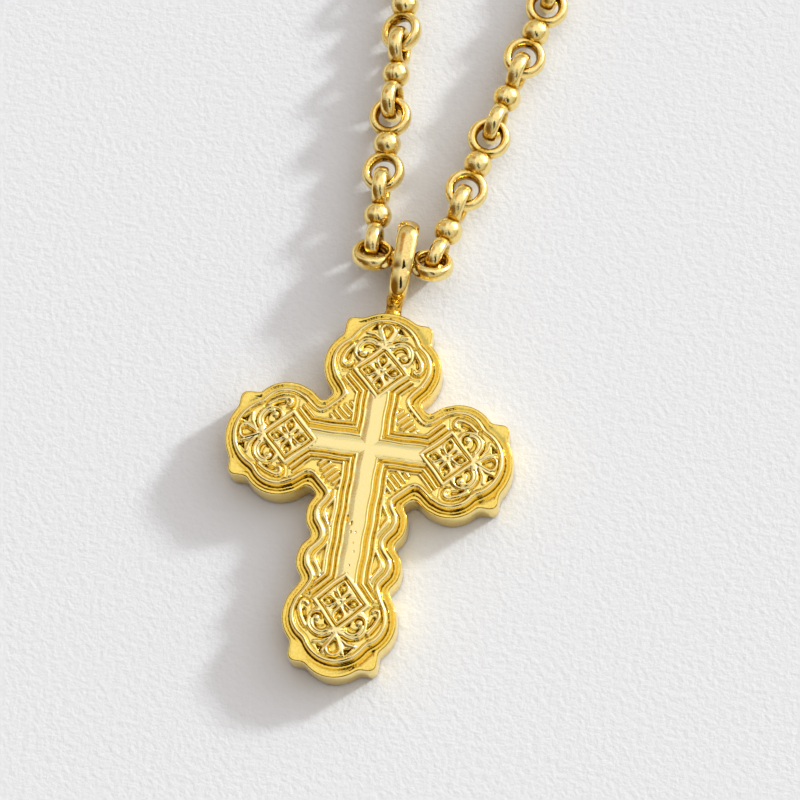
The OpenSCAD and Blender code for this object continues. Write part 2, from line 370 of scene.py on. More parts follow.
def lobe_heights(v, u, rng):
    """The ornament in a lobe: diamond with its rosette, palmette, scrolls, hooks and corner pits."""
    wobble = rng.uniform(-0.05, 0.05, (12, 2))
    h = np.full(len(v), ground)
    right = v > 0
    p = np.stack([np.abs(v), u], 1) + np.where(right[:, None], wobble[0], wobble[1])
    # Corner pits beside the palmette
    pit = np.array([(0.92, 12.72), (1.98, 12.5), (1.3, 13.35)])
    h = sunk(h, -polygon_distance(p, pit + wobble[2]), 0.2, 0.55)
    h = ribbed(h, line_distance(p, [(0.3, 11.6), (0.8, 12.35), (1.05, 13.1)]), 0.2, -0.04)
    h = ribbed(h, line_distance(p, [(0.5, 11.6), (1.3, 12.2), (2.1, 12.32)]), 0.2, -0.04)
    # Scroll: groove outside, round band, hollow crescent, and a bud at its end
    outer = np.vstack([[(0.12, 11.25)], arc_points(1.62, 10.28, 1.56, 135, -25)])
    h = grooved(h, line_distance(p, outer), 0.13, 0.4)
    band = np.vstack([[(0.1, 10.78), (0.45, 11.1)], arc_points(1.68, 10.28, 1.15, 128, -62)])
    h = ribbed(h, line_distance(p, band), 0.38, 0.03)
    h = grooved(h, line_distance(p, band[2:-2]), 0.13, 0.12)
    crescent = np.maximum(circle_distance(p, 1.66, 10.38, 0.74), -circle_distance(p, 1.82, 9.96, 0.7))
    h = sunk(h, -crescent, 0.16, 0.42)
    bud = circle_distance(p, 2.2, 10.02, 0.36)
    h = grooved(h, np.where(p[:, 1] < 10.1, bud - 0.1, 9), 0.15, 0.38)
    h = np.where(bud < 0, np.maximum(h, -0.02 - 0.2 * (1 - np.clip(-bud / 0.36, 0, 1)) ** 2), h)
    corner_pit = np.array([(0.55, 10.5), (1.38, 10.4), (1.4, 9.72)])
    h = sunk(h, -polygon_distance(p, corner_pit + wobble[3]), 0.2, 0.42)
    # Hook in the lobe's side bulge: a leaf along the edge that curls round a bud
    leaf_edge = [(3.05, 11.3), (3.72, 10.75), (4.2, 10.1), (4.5, 9.4)]
    leaf_edge = np.vstack([leaf_edge, arc_points(3.76, 8.92, 0.74, 20, -190)])
    h = grooved(h, line_distance(p, leaf_edge), 0.14, 0.36)
    leaf_rib = np.vstack([[(3.25, 10.85), (3.85, 10.0), (4.12, 9.3)], arc_points(3.74, 8.95, 0.42, 0, -150)])
    h = ribbed(h, line_distance(p, leaf_rib), 0.24, 0.02)
    leaf_hollow = np.array([(3.1, 10.5), (3.62, 9.98), (3.86, 9.3), (3.72, 9.0), (3.42, 9.2), (3.3, 9.75)])
    h = sunk(h, -polygon_distance(p, leaf_hollow + wobble[4]), 0.2, 0.42)
    h = grooved(h, line_distance(p, [(2.72, 8.3), (3.3, 7.95), (4.1, 7.86)]), 0.13, 0.32)
    # Palmette: a drop with a raised border
    drop = drop_inside(v, u, 11.6, 12.72, 0.54)
    h = ribbed(h, line_distance(np.stack([v, u], 1), [(0, 11.0), (0, 11.8)]), 0.22, 0.02)
    h = ribbed(h, drop + 0.17, 0.2, 0.03)
    h = sunk(h, drop, 0.5, 0.44)
    # Diamond: raised border, a groove inside it and a rosette of eight hollows
    turned = np.stack([(v + u - diamond_at), (v - u + diamond_at)], 1) / math.sqrt(2)
    frame_d = np.abs(turned).max(1) - diamond_half
    inside = frame_d < 0.02
    h = np.where(inside, diamond_floor, h)
    h = ribbed(h, frame_d - 0.31, 0.26, 0.03)
    h = grooved(h, frame_d, 0.09, 0.3)
    petal_shape = np.array([(0.5, 0), (1.18, 0.47), (1.5, 0.44), (1.98, 0), (1.5, -0.44), (1.18, -0.47)])
    q = np.stack([v, u - diamond_at], 1)
    for k, turn in enumerate(range(0, 360, 90)):
        c, s = math.cos(math.radians(turn)), math.sin(math.radians(turn))
        turned = np.stack([q @ [c, s] + wobble[k, 0], q @ [-s, c]], 1)
        petal = -polygon_distance(turned, petal_shape)
        h = np.where(inside, ribbed(h, petal + 0.08, 0.14, 0.02), h)
        h = np.where(inside, sunk(h, petal, 0.32, 0.46), h)
        lump = np.hypot(turned[:, 0] - 1.38, turned[:, 1]) / 0.36
        h = np.where(inside & (lump < 1), np.maximum(h, -0.16 - 0.3 * lump ** 2), h)
        c, s = math.cos(math.radians(turn + 45)), math.sin(math.radians(turn + 45))
        along, across = q @ [c, s] - 0.86, np.abs(q @ [-s, c])
        slit = 0.17 * (1 - np.clip(np.abs(along) / 0.5, 0, 1) ** 2) - across
        h = np.where(inside & (slit > 0), np.minimum(h, diamond_floor - 0.26 * np.clip(slit / 0.14, 0, 1)), h)
    return grooved(h, np.hypot(*q.T), 0.16, 0.26)


def hatch_heights(x, y):
    """Six short strokes across each inner corner, the middle ones longest."""
    p = np.stack([np.abs(x), np.abs(y)], 1)
    floor, corner_at, spacing, longest, shorter_by, half_width = -0.28, 3.26, 0.44, 0.66, 0.12, 0.21
    h = np.full(len(p), floor)
    for i in (-2.5, -1.5, -0.5, 0.5, 1.5, 2.5):
        middle = np.array([corner_at, corner_at]) + spacing * i * np.array([1, -1])
        reach = 0.8 * (longest - shorter_by * abs(i))
        h = ribbed(h, line_distance(p, [middle - reach, middle + reach]), half_width)
    return h


def wave_heights(v, u, to_edge):
    """Two sunk leaves on each side of the lower arm, with a thin rib round each."""
    p = np.stack([np.abs(v), u], 1)
    h = np.full(len(p), -0.2)
    for low, middle, high, wide in ((5.95, 7.15, 8.65, 3.08), (10.75, 12.15, 13.65, 3.22)):
        leaf = np.array([(2.52, low), (wide, middle - 0.2), (wide, middle + 0.2), (2.52, high)])
        leaf = polygon_distance(p, leaf)
        h = ribbed(h, leaf - 0.13, 0.14, -0.02)
        h = sunk(h, -leaf, 0.3, 0.32)
    return ribbed(h, to_edge + 1.0, 0.16, -0.03)


def relief_heights(p, to_edge):
    """Height of the whole face, given the distance from the plate's edge."""
    x, y = p.T
    p = p + waver * np.stack([
        np.sin(1.9 * y + 1.3 * np.sin(1.1 * x)), np.sin(1.7 * x + 1.5 * np.sin(0.9 * y) + 1)], 1)
    x, y = p.T
    across, out = {}, {}
    for name, axes in arm_frames.items():
        across[name], out[name] = (p @ axes.T).T
    foot_out = (out["foot"] - foot_lobe_at) / foot_stretch + usual_lobe_at
    out["foot"] = np.where(out["foot"] > 0, foot_out, out["foot"])
    lines = {name: bar_coordinate(across[name], out[name], name) for name in arm_frames}
    level_lines = np.where(x > 0, lines["right"], lines["left"])
    upright_lines = np.where(y > 0, lines["top"], lines["foot"])
    h = np.interp(np.minimum(level_lines, upright_lines), bar_profile_at, bar_profile)
    corner = (level_lines > border_line) & (upright_lines > border_line)
    h = np.where(corner, hatch_heights(x, y), h)
    beside_stem = (lines["foot"] > border_line) & (out["foot"] < usual_lobe_at)
    side_field = (y < wave_span[1]) & (y > wave_span[0]) & beside_stem
    h = np.where(side_field, wave_heights(x, -y, to_edge), h)
    for k, name in enumerate(arm_frames):
        v, u = across[name], out[name]
        in_lobe = (np.abs(v) + u > tip_from) | (np.abs(v) + diamond_at - u < past_diamond * math.sqrt(2))
        here = (u > lobe_from) & in_lobe
        h[here] = lobe_heights(v[here], u[here], np.random.default_rng(first_seed + k))
    for at, to, r in casting_pits:
        h = grooved(h, line_distance(p, [at, to]), r, 0.3)
    # The rim: a round bead, with a groove along its inner side
    usual_groove, wave_groove, bead_drop, bead_at, bead_half = -0.55, -0.66, 0.1, -0.28, 0.16
    groove_at = np.where(side_field, wave_groove, usual_groove)
    h = grooved(h, to_edge - groove_at, 0.14, 0.3)
    bead = -bead_drop * np.clip((to_edge - bead_at) / bead_half, -1, 1) ** 2
    blend = np.clip((to_edge - groove_at - 0.04) / 0.12, 0, 1)
    return h * (1 - blend) + bead * blend


def softened(values, radius):
    """Values on a grid, smoothed over a radius counted in its squares."""
    reach = int(3 * radius) + 1
    weights = np.exp(-0.5 * (np.arange(-reach, reach + 1) / radius) ** 2)
    weights /= weights.sum()
    for axis in (0, 1):
        values = sum(w * np.roll(values, k - reach, axis) for k, w in enumerate(weights))
    return values


# The plate's face is a fine grid of heights
grid_step = 0.073
xs, ys = np.arange(-14.4, 14.4, grid_step), np.arange(-23.1, 14.4, grid_step)
grid_x, grid_y = np.meshgrid(xs, ys)
grid = np.stack([grid_x.ravel(), grid_y.ravel()], 1)
sample_spacing = 0.02
edge_samples = evenly_spaced(plate_loop, sample_spacing)
tree = KDTree(len(edge_samples))
for k, (x, y) in enumerate(edge_samples):
    tree.insert((x, y, 0), k)
tree.balance()
grid_level = plate_distance(grid)
inside = np.nonzero(grid_level < 0)[0]
grid_edge = np.full(len(grid), 1.0)
grid_edge[inside] = [-tree.find((x, y, 0))[2] for x, y in grid[inside]]
heights = np.zeros(len(grid))
heights[inside] = relief_heights(grid[inside], grid_edge[inside])
sharp = heights.reshape(grid_x.shape)
polish_reach, narrow_reach, broad_reach = 0.4, 1.5, 3.0
soft = softened(sharp, polish_reach)
# Painted shade and reflection: how far each place takes the deeper tone of a hollow, by its depth and by how
# much it lies below what is round it
broad = np.clip((softened(sharp, broad_reach) - soft - 0.03) / 0.19, 0, 0.85)
narrow = np.clip((softened(sharp, narrow_reach) - soft - 0.04) / 0.1, 0, 1)
deep = np.clip((-0.07 - soft) / 0.2, 0, 1)
deep_share, broad_share, narrow_share = 0.28, 0.6, 0.45
hollow = np.clip(deep_share * deep + broad_share * broad + narrow_share * narrow, 0, 1).ravel()
heights = plate_top + soft.ravel()
crest_level = -0.3
clear_of_crest = 0.035
keep = (grid_level < crest_level - clear_of_crest).reshape(grid_x.shape)
cells = keep[:-1, :-1] & keep[1:, :-1] & keep[:-1, 1:] & keep[1:, 1:]
row, col = np.nonzero(cells)
width = len(xs)
first_corner = row * width + col
quad_ids = np.stack([first_corner, first_corner + 1, first_corner + width + 1, first_corner + width], 1)
used, quad_ids = np.unique(quad_ids, return_inverse=True)
quad_ids = quad_ids.reshape(-1, 4)
field = grid[used]

verts = [np.column_stack([field, heights[used]])]
faces = [list(map(int, f)) for f in quad_ids]
count = len(field)


def add_ring(loop, z):
    """Adds a closed ring of points and gives its vertex numbers."""
    global count
    verts.append(np.column_stack([loop, np.broadcast_to(z, len(loop))]))
    ids = np.arange(count, count + len(loop))
    count += len(loop)
    return ids


def add_strip(inner, outer):
    """Joins two rings of the same count, the first one being the inner or upper one."""
    for a, b, c, d in zip(inner, outer, np.roll(outer, -1), np.roll(inner, -1)):
        faces.append([int(a), int(b), int(c), int(d)])


def fill(ids, points, edges, wanted=None):
    """Fills the space between closed borders with triangles whose middles are wanted."""
    out_v, _, out_f, origin, _, _ = delaunay_2d_cdt([Vector(q) for q in points], edges, [], 1, 1e-7)
    out_v, out_f = np.array(out_v), np.array(out_f)
    keep = wanted(out_v[out_f].mean(1)) if wanted else np.full(len(out_f), True)
    return [[int(ids[origin[k][0]]) for k in tri] for tri in out_f[keep]]


# The rounded crest of the rim, its outer wall and the hollow of the ledge, from the inside out
edge_profile = [(g, plate_top - down) for g, down in (
    (crest_level, 0), (-0.22, 0.015), (-0.15, 0.05), (-0.09, 0.11), (-0.04, 0.21), (-0.01, 0.35), (0.02, 0.5),
    (0.05, 0.7), (0.08, 0.86), (0.12, 0.96))]
wall_foot = edge_profile[-1][0]
loops = {}
for way in (-1, 1):
    loop = plate_loop
    for g in sorted((g for g, z in edge_profile if g * way > 0), key=abs):
        loop = loops[g] = on_level(loop, plate_distance, g, 3)
edge_ids = [add_ring(loops[g], z) for g, z in edge_profile]
for a, b in zip(edge_ids, edge_ids[1:]):
    add_strip(a, b)

# Between the grid's stepped border and the rim's crest. The border is the edges that only one cell has.
border = {}
for f in quad_ids.tolist():
    for a, b in zip(f, f[1:] + f[:1]):
        if (b, a) in border:
            del border[b, a]
        else:
            border[a, b] = True
border_ids = sorted({k for e in border for k in e})
place = {k: i for i, k in enumerate(border_ids)}
crest_ids = edge_ids[0]
points = np.vstack([field[border_ids], loops[crest_level]])
n = len(border_ids)
edges = [(place[a], place[b]) for a, b in border]
edges += [(n + i, n + (i + 1) % len(crest_ids)) for i in range(len(crest_ids))]


def outside_cells(q):
    return ~cells[((q[:, 1] - ys[0]) / grid_step).astype(int), ((q[:, 0] - xs[0]) / grid_step).astype(int)]


faces += fill(np.concatenate([border_ids, crest_ids]), points, edges, outside_cells)

# Outer edge of the base: the ledge's lip, its rounded edge, the wall and the edge at the back
base_profile = [(g, base_top - down) for g, down in (
    (-0.34, 0.02), (-0.27, 0.035), (-0.22, 0.045), (-0.17, 0.04), (-0.12, 0.06), (-0.06, 0.12), (-0.02, 0.2),
    (0.0, 0.3))]
base_profile += [(0.0, 0.4), (-0.03, 0.18), (-0.1, 0.06), (-0.22, 0.0)]
lip_foot = base_profile[0][0]
base_rings = [on_level(base_loop, base_distance, g, 5) if g else base_loop for g, z in base_profile]
base_ids = [add_ring(r, z) for r, (g, z) in zip(base_rings, base_profile)]
for a, b in zip(base_ids, base_ids[1:]):
    add_strip(a, b)

# Hollow of the ledge and the ears, between the plate's wall and the outer edge
ledge_step, ledge_clear = 0.125, 0.06
ledge = np.meshgrid(np.arange(-15, 15, ledge_step), np.arange(-24.5, 15, ledge_step))
ledge = np.stack([c.ravel() for c in ledge], 1)
inner_d, outer_d = plate_distance(ledge), base_distance(ledge)
here = (inner_d > wall_foot + ledge_clear) & (outer_d < lip_foot - ledge_clear)
ledge, inner_d = ledge[here], inner_d[here]
ledge_down_at = (0.12, 0.17, 0.24, 0.34, 0.5, 0.7, 0.95, 1.5)
ledge_down = (0.16, 0.19, 0.2, 0.19, 0.15, 0.09, 0.05, 0.02)
ledge_ids = add_ring(ledge, base_top - np.interp(inner_d, ledge_down_at, ledge_down))
a_ids, b_ids = edge_ids[-1], base_ids[0]
points = np.vstack([loops[wall_foot], base_rings[0], ledge])
n, m = len(a_ids), len(b_ids)
edges = [(i, (i + 1) % n) for i in range(n)] + [(n + i, n + (i + 1) % m) for i in range(m)]
slack = 0.004
faces += fill(
    np.concatenate([a_ids, b_ids, ledge_ids]), points, edges, lambda q: plate_distance(q) > wall_foot - slack)
# The back
n = len(base_ids[-1])
faces += [f[::-1] for f in fill(base_ids[-1], base_rings[-1], [(i, (i + 1) % n) for i in range(n)])]


def in_scene(name, data):
    """A new object, linked to the scene."""
    added = bpy.data.objects.new(name, data)
    bpy.context.scene.collection.objects.link(added)
    return added


def new_piece(name, coordinates, polygons, material):
    """A mesh object from millimetres measured from the crossing."""
    mesh = bpy.data.meshes.new(name)
    place = np.asarray(coordinates, float) * MM + np.array(crossing)
    mesh.from_pydata(place.tolist(), [], polygons)
    mesh.validate()
    mesh.shade_smooth()
    mesh.materials.append(material)
    return in_scene(name, mesh)


def add_node(tree, kind, sockets=None, **settings):
    """Adds a node with its settings, and sets or links each socket that is given."""
    node = tree.nodes.new(kind)
    for name, value in settings.items():
        setattr(node, name, value)
    for name, value in (sockets or {}).items():
        if isinstance(value, bpy.types.NodeSocket):
            tree.links.new(value, node.inputs[name])
        else:
            node.inputs[name].default_value = value
    return node


def linear(code):
    """Linear colour of an sRGB hex value."""
    parts = [int(code[i:i + 2], 16) / 255 for i in (1, 3, 5)]
    # The usual constants of the sRGB curve
    return (*[c / 12.92 if c <= 0.04045 else ((c + 0.055) / 1.055) ** 2.4 for c in parts], 1)


# Worn patches are 2.38 mm across, and the slow waves that hand finishing leaves 1.11 mm. Grain and specks are
# drawn at 0.16 to 0.4 mm, coarser than those of real castings, so that they show.
patch_mm, wave_mm = 1 / 0.42, 1 / 0.9


def polished_gold(name, colour, rough_low, rough_high, grain_mm, grain_depth):
    """Yellow gold, cast and polished: clear reflections, softened by wear and a fine grain, sized in mm."""
    material = bpy.data.materials.new(name)
    material.use_nodes = True
    tree = material.node_tree
    shader = tree.nodes["Principled BSDF"]
    shader.inputs["Metallic"].default_value = 1
    shader.inputs["Base Color"].default_value = linear(colour)
    where = add_node(tree, "ShaderNodeTexCoord").outputs["Object"]
    patches = add_node(tree, "ShaderNodeTexNoise", {
        "Vector": where, "Scale": 1 / (patch_mm * MM), "Detail": 3.0})
    rough = add_node(tree, "ShaderNodeMapRange", {
        "Value": patches.outputs["Fac"], "From Min": 0.3, "From Max": 0.7,
        "To Min": rough_low, "To Max": rough_high})
    tree.links.new(rough.outputs["Result"], shader.inputs["Roughness"])
    grain = add_node(tree, "ShaderNodeTexNoise", {
        "Vector": where, "Scale": 1 / (grain_mm * MM), "Detail": 2.0})
    waves = add_node(tree, "ShaderNodeTexNoise", {
        "Vector": where, "Scale": 1 / (wave_mm * MM), "Detail": 1.0})
    height = add_node(tree, "ShaderNodeMath", {
        0: grain.outputs["Fac"], 1: waves.outputs["Fac"]}, operation="ADD")
    bump = add_node(tree, "ShaderNodeBump", {
        "Strength": 1.0, "Distance": grain_depth * MM, "Height": height.outputs["Value"]})
    tree.links.new(bump.outputs["Normal"], shader.inputs["Normal"])
    return material


def paint_hollow_shade(material, colours, speckle, speckle_mm):
    """Paints shade and reflection into the base colour: a ramp from pale to deep gold, driven by the hollow
    attribute, which holds painted shade and the painted deep-gold reflection of the gold on itself; fine
    random specks are added all over.
    """
    tree = material.node_tree
    shade_amount = add_node(tree, "ShaderNodeAttribute", attribute_name="hollow").outputs["Fac"]
    where = add_node(tree, "ShaderNodeTexCoord").outputs["Object"]
    specks = add_node(tree, "ShaderNodeTexNoise", {
        "Vector": where, "Scale": 1 / (speckle_mm * MM), "Detail": 3.0})
    specks = add_node(tree, "ShaderNodeMapRange", {
        "Value": specks.outputs["Fac"], "From Min": 0.42, "From Max": 0.72, "To Max": speckle})
    shade_amount = add_node(tree, "ShaderNodeMath", {0: shade_amount, 1: specks.outputs["Result"]}, operation="ADD")
    # Painted shade and reflection: the higher the value, the deeper and darker the gold
    tone = add_node(tree, "ShaderNodeValToRGB", {"Fac": shade_amount.outputs["Value"]})
    marks = tone.color_ramp.elements
    marks[0].color, marks[1].color = linear(colours[0]), linear(colours[3])
    marks.new(0.35).color = linear(colours[1])
    marks.new(0.7).color = linear(colours[2])
    tree.links.new(tone.outputs["Color"], tree.nodes["Principled BSDF"].inputs["Base Color"])


# Cast gold, 14 carat, pale and bright on the bars. The warmer yellow down the ribs and the brown deep in the
# lines are painted reflection of the gold on itself and painted shade.
cast_gold = polished_gold(
    "cast_gold", "#F7DF98", rough_low=0.07, rough_high=0.17, grain_mm=0.16, grain_depth=0.008)
paint_hollow_shade(cast_gold, ("#FAE7A4", "#FDE27A", "#DFB848", "#3A2C04"), speckle=0.13, speckle_mm=0.3)
cross = new_piece("cross_casting", np.vstack(verts), faces, cast_gold)
painted_shade_values = np.zeros(count)
painted_shade_values[:len(field)] = hollow[used]
# Painted shade: the rim's wall darkens down to the ledge, and the outer wall down to the back. A painted dark
# line runs along the lip's crest, standing in for the dark reflection there.
rim_painted_shade = (0.05, 0.1, 0.2, 0.35, 0.65, 1.0)
base_painted_shade = (0.42, 0.42, 0.42, 0.5, 0.9, 0.05, 0.0, 0.12, 0.6, 0.8, 0.9, 0.9)
# Painted shade and reflection: the ledge is darkest by the plate's wall and keeps a deeper gold out to the
# lip
ledge_shade_at, ledge_painted_shade = (0.12, 0.17, 0.25, 0.45, 0.8, 1.2), (1.0, 0.7, 0.54, 0.47, 0.4, 0.4)
for ids, shade_there in [*zip(edge_ids[-len(rim_painted_shade):], rim_painted_shade), *zip(base_ids, base_painted_shade)]:
    painted_shade_values[ids] = shade_there
painted_shade_values[ledge_ids] = np.interp(inner_d, ledge_shade_at, ledge_painted_shade)
cross.data.attributes.new("hollow", "FLOAT", "POINT").data.foreach_set("value", painted_shade_values)
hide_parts("cross")
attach(cross, "root")


# Bail: a loop bent from polished oval gold bar, standing across the cross and leaning a little to its right.
# Its ends meet in the neck below, which holds it to the cross's upper edge.
bail_radius = 2.35
bail_run = 3.2
bail_back = 19.2
bail_z = 3.05
bail_wide = 1.12
bail_thick = 0.6
bail_sag = 0.45
bail_shift, bail_lean = 0.15, 0.13
bail_section_points, bail_section_power = 36, 1.8
bail_turn_points, bail_straight_points = 49, 14
# Painted shade on the loop's inner side
bail_inner_shade = 0.8


def swept_loop(path, normals, sides, wide, thick, count, power=2.3):
    """A closed bar along a closed path, with a rounded section."""
    turn = np.linspace(0, 2 * math.pi, count, endpoint=False)
    c, s = np.cos(turn), np.sin(turn)
    section = np.stack([np.sign(c) * np.abs(c) ** (2 / power), np.sign(s) * np.abs(s) ** (2 / power)], 1)
    rows = path[:, None] + section[None, :, :1] * (wide * sides)[:, None]
    rows = rows + section[None, :, 1:] * (thick * normals)[:, None]
    n = len(path)
    ids = np.arange(n * count).reshape(n, count)
    nxt, side = np.roll(ids, -1, 0), np.roll(ids, -1, 1)
    quads = np.stack([ids, nxt, np.roll(nxt, -1, 1), side], -1).reshape(-1, 4)
    return rows.reshape(-1, 3), quads.tolist()


turns = np.radians(np.linspace(-90, 90, bail_turn_points))
half_turn = np.stack([0 * turns, bail_radius * np.cos(turns), bail_radius * np.sin(turns)], 1)
far_end = np.array([0, bail_back + bail_run, bail_z]) + half_turn
near_end = np.array([0, bail_back, bail_z]) - half_turn
straight = np.linspace(0, 1, bail_straight_points)[1:-1, None]
path = np.vstack([
    far_end, far_end[-1] + straight * (near_end[0] - far_end[-1]),
    near_end, near_end[-1] + straight * (far_end[0] - near_end[-1])])
tangents = np.roll(path, -1, 0) - np.roll(path, 1, 0)
tangents /= np.linalg.norm(tangents, axis=1)[:, None]
sides = np.broadcast_to([1.0, 0, 0], path.shape)
normals = np.cross(tangents, sides)
# The upper side of its near half hangs lower, the whole leans, and the bar is slimmer near the neck and below
nearness = np.clip((bail_back + bail_run / 2 - path[:, 1]) / bail_run * 2, 0, 1)
path[:, 2] -= bail_sag * nearness ** 2 * np.maximum(path[:, 2] - bail_z, 0) / bail_radius
path[:, 0] += bail_shift + bail_lean * (path[:, 2] - bail_z)
taper = np.interp(path[:, 1], (16.5, 19, 24.8), (0.84, 0.95, 1.04))
taper = taper * np.interp(path[:, 2], (0.7, 3, 4.5), (0.82, 0.95, 1))
bail_verts, bail_faces = swept_loop(
    path, normals, sides, bail_wide * taper[:, None], bail_thick, bail_section_points, bail_section_power)
# Polished gold bar: the smoothest gold of the piece, a clear mirror with dark streaks of the room
bail_gold = polished_gold(
    "polished_bail_gold", "#F4DC9C", rough_low=0.05, rough_high=0.12, grain_mm=0.3, grain_depth=0.003)
# The ramp's deeper colours are painted shade, used on the loop's inner side and by the neck
paint_hollow_shade(bail_gold, ("#F8DE94", "#E2B654", "#A87C20", "#342204"), speckle=0.2, speckle_mm=0.25)
bail = new_piece("bail", bail_verts, bail_faces, bail_gold)
reach = np.maximum(np.abs(bail_verts[:, 1] - bail_back - bail_run / 2) - bail_run / 2, 0)
inward = bail_radius - np.hypot(reach, bail_verts[:, 2] - bail_z)
# Painted shade: the loop's inner side takes a hollow's deeper tone, and the bar darkens by the neck and at
# the far turn
bail_shade = np.clip(inward / bail_thick, 0, 1) * bail_inner_shade
bail_shade = bail_shade + np.interp(bail_verts[:, 1], (16.4, 17.2, 24.2, 25), (0.5, 0, 0, 0.35))
bail.data.attributes.new("hollow", "FLOAT", "POINT").data.foreach_set("value", bail_shade)
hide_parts("cross")
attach(bail, "root")


# Neck: a short stub of gold between the bail and the cross's upper edge, soldered at both ends. No polishing
# wheel reaches it, so it stays rough and dark.
# Its rows: place along the cross, half width, half height, height of its middle
neck_rows = (
    (14.0, 0.9, 0.95, 2.3), (14.75, 0.92, 0.92, 2.3), (15.05, 0.95, 0.9, 2.3), (15.3, 0.88, 0.84, 2.35),
    (15.7, 0.8, 0.86, 2.4), (16.1, 0.86, 0.95, 2.5), (16.45, 0.9, 1.1, 2.7), (16.75, 0.88, 1.1, 2.9),
    (17.0, 0.7, 0.8, 3.0))
row_count, side_count = 40, 32


def tube_faces(rows, count):
    """Faces of a closed tube from its rows of points, with a face over each end."""
    ids = np.arange(rows * count).reshape(rows, count)
    quads = np.stack([ids[:-1], ids[1:], np.roll(ids[1:], -1, 1), np.roll(ids[:-1], -1, 1)], -1)
    return quads.reshape(-1, 4).tolist() + [ids[0].tolist(), ids[-1][::-1].tolist()]


steps = np.linspace(0, len(neck_rows) - 1, row_count)
neck_table = np.stack([np.interp(steps, range(len(neck_rows)), column) for column in zip(*neck_rows)], 1)
turn = np.linspace(0, 2 * math.pi, side_count, endpoint=False)
neck_points = np.array([
    [(w * math.cos(t), y, z + h * math.sin(t)) for t in turn] for y, w, h, z in neck_table])
# Soldered gold: grainy and dull, with a dark skin in its pits
neck_gold = polished_gold(
    "soldered_gold", "#E0B050", rough_low=0.18, rough_high=0.36, grain_mm=0.4, grain_depth=0.16)
paint_hollow_shade(neck_gold, ("#E4B850", "#C89024", "#7C520C", "#261802"), speckle=0.9, speckle_mm=0.35)
neck = new_piece("bail_neck", neck_points.reshape(-1, 3), tube_faces(row_count, side_count), neck_gold)
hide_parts("cross")
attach(neck, "root")


# Chain: every link is a ball with an eye on each side, cast in one piece of gold and polished. Each is
# threaded through the last and turned a quarter against it, and the centre link carries the bail.
eye_d, eye_t, eye_w, ball_d, eye_out, pitch = 4.6, 1.05, 1.55, 3.0, 3.15, 8.1
link_count = 27
clasp_out = 6
chain_z = 2.35
# Course of a strand: where it starts, its straight run's direction and length, and how far it turns outward
loop_at, loop_lean = (0.12, 22.4), 5.45
start_x, start_turn, straight_l, wide_turn = 3.4, 8, 34, 55
# Each strand lies twisted near the cross. The twist is full at the fifth link and gone by the eleventh.
strand_twist = {-1: -25, 1: 7}
full_link, faded_link, fade_links = 4, 10, 5
looseness = 3
seam_half, seam_wide, seam_deep = 0.05, 0.035, 0.03


def ring_mesh(count=44, section=14):
    """An eye, lying flat, whose bar has a rounded section."""
    around = np.linspace(0, 2 * math.pi, count, endpoint=False)
    path = np.stack([np.cos(around), np.sin(around), 0 * around], 1)
    sides = np.broadcast_to([0, 0, 1.0], path.shape)
    return swept_loop(path * (eye_d - eye_t) / 2, path, sides, eye_w / 2, eye_t / 2, section, 2.2)


def ball_mesh(count=32, rows=20):
    """A ball with a fine seam round its middle, where the two halves of the mould met."""
    tilt = np.linspace(-math.pi / 2, math.pi / 2, rows + 1)[1:-1]
    tilt = np.sort(np.concatenate([tilt, [-seam_half, seam_half]]))
    r = ball_d / 2 - seam_deep * np.exp(-(tilt / seam_wide) ** 2)
    turn = np.linspace(0, 2 * math.pi, count, endpoint=False)
    points = [(rr * math.cos(t) * math.cos(a), rr * math.cos(t) * math.sin(a), rr * math.sin(t))
              for t, rr in zip(tilt, r) for a in turn]
    ids = np.arange(len(points)).reshape(len(tilt), count)
    quads = np.stack([ids[:-1], np.roll(ids[:-1], -1, 1), np.roll(ids[1:], -1, 1), ids[1:]], -1)
    quads = quads.reshape(-1, 4).tolist()
    low, high = len(points), len(points) + 1
    points += [(0, 0, -ball_d / 2), (0, 0, ball_d / 2)]
    quads += [[low, int(b), int(a)] for a, b in zip(ids[0], np.roll(ids[0], -1))]
    quads += [[high, int(a), int(b)] for a, b in zip(ids[-1], np.roll(ids[-1], -1))]
    return np.array(points), quads


def joined(parts):
    """One mesh from several, each with its own shift."""
    points, polygons, start = [], [], 0
    for (p, f), shift in parts:
        points.append(p + shift)
        polygons += [[start + k for k in face] for face in f]
        start += len(p)
    return np.vstack(points), polygons


link_points, link_faces = joined([
    (ring_mesh(), (-eye_out, 0, 0)), (ring_mesh(), (eye_out, 0, 0)), (ball_mesh(), (0, 0, 0))])
link_pattern = bpy.data.meshes.new("link_pattern")
link_pattern.from_pydata((link_points * MM).tolist(), [], link_faces)
link_pattern.shade_smooth()
# Painted shade: the tone of a hollow lies inside the eyes and where they meet the ball
eye_inner_shade, joint_shade, ball_reach, joint_reach = 0.75, 0.6, 0.7, 0.5
eye_middle_r = (eye_d - eye_t) / 2
from_middle = np.linalg.norm(link_points, axis=1)
eye_r = np.hypot(np.abs(link_points[:, 0]) - eye_out, link_points[:, 1])
on_ball = from_middle < ball_d / 2 + 1e-6
to_eye = np.hypot(np.abs(eye_r - eye_middle_r) / eye_t, link_points[:, 2] / eye_w) * 2 - 1
ball_shade = np.clip(1 - to_eye / ball_reach, 0, 1) * eye_inner_shade
eye_shade = np.clip((eye_middle_r - eye_r) / (eye_t / 2), 0, 1) * eye_inner_shade
eye_shade = eye_shade + np.clip(1 - (from_middle - ball_d / 2) / joint_reach, 0, 1) * joint_shade
link_shade = np.where(on_ball, ball_shade, eye_shade)
link_pattern.attributes.new("hollow", "FLOAT", "POINT").data.foreach_set("value", link_shade)
link_shape = in_scene("link_pattern", link_pattern)


